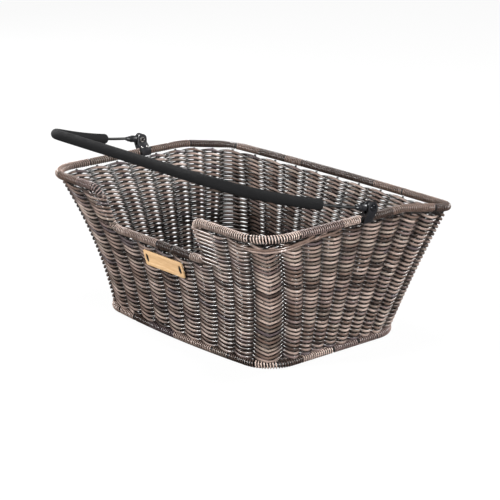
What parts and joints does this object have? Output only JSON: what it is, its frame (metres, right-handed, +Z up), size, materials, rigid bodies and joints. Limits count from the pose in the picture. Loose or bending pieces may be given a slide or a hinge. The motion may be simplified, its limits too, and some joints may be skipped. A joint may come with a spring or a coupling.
{
  "type": "bicycle basket",
  "caption": "Woven rear-carrier bicycle basket with flared walls, a cut-out for the saddle in its front wall and a swinging carrying handle with a foam grip.",
  "frame": {"origin": "on the standing surface, under the centre of the whole part's bounding box, handle in its pictured pose", "axes": "+X to the right across the basket's long side, +Y to the rear wall, -Y towards the saddle, +Z up"},
  "size_m": [0.4782, 0.3782, 0.2677],
  "materials": {
    "weave": "rattan-look plastic strands, mixed brown and grey",
    "binding": "rattan-look plastic strands wound close",
    "steel_rod": "black coated steel rod",
    "stake": "dark coated stakes",
    "black_plastic": "satin moulded black",
    "bright_metal": "bright nickel",
    "handle_wire": "black coated wire",
    "foam": "matte charcoal foam",
    "tag": "plain light wood-coloured plate, blank"
  },
  "bodies": {
    "basket": {"rim_rod": "steel_rod", "rim_binding_front": "binding", "rim_binding_rear": "binding", "base_rod": "steel_rod", "base_binding": "binding", "woven_wall": "weave", "woven_floor": "weave", "stake_front_left": "stake", "stake_front_1": "stake", "stake_front_2": "stake", "stake_front_3": "stake", "stake_front_4": "stake", "stake_front_5": "stake", "stake_front_6": "stake", "stake_front_7": "stake", "stake_front_8": "stake", "stake_front_9": "stake", "stake_front_right": "stake", "stake_right_1": "stake", "stake_right_2": "stake", "stake_right_3": "stake", "stake_right_4": "stake", "stake_right_5": "stake", "stake_right_6": "stake", "stake_right_7": "stake", "stake_right_8": "stake", "stake_rear_right": "stake", "stake_rear_1": "stake", "stake_rear_2": "stake", "stake_rear_3": "stake", "stake_rear_4": "stake", "stake_rear_5": "stake", "stake_rear_6": "stake", "stake_rear_7": "stake", "stake_rear_8": "stake", "stake_rear_9": "stake", "stake_rear_left": "stake", "stake_left_1": "stake", "stake_left_2": "stake", "stake_left_3": "stake", "stake_left_4": "stake", "stake_left_5": "stake", "stake_left_6": "stake", "stake_left_7": "stake", "stake_left_8": "stake", "hinge_outer_right": "black_plastic", "hinge_inner_right": "black_plastic", "pivot_screw_right": "bright_metal", "pivot_eyelet_right": "bright_metal", "hinge_outer_left": "black_plastic", "hinge_inner_left": "black_plastic", "pivot_screw_left": "bright_metal", "pivot_eyelet_left": "bright_metal", "tag_plate": "tag", "tag_tie_left": "black_plastic", "tag_tie_right": "black_plastic"},
    "handle": {"handle_wire": "handle_wire", "handle_grip": "foam", "handle_end_left": "black_plastic", "handle_end_right": "black_plastic"}
  },
  "joints": [
    {"name": "handle_swing", "type": "hinge", "parent": "basket", "child": "handle", "pos_m": [0, 0.01391, 0.20909], "axis": [-1, 0, 0], "range_deg": [-14, 172]}
  ]
}
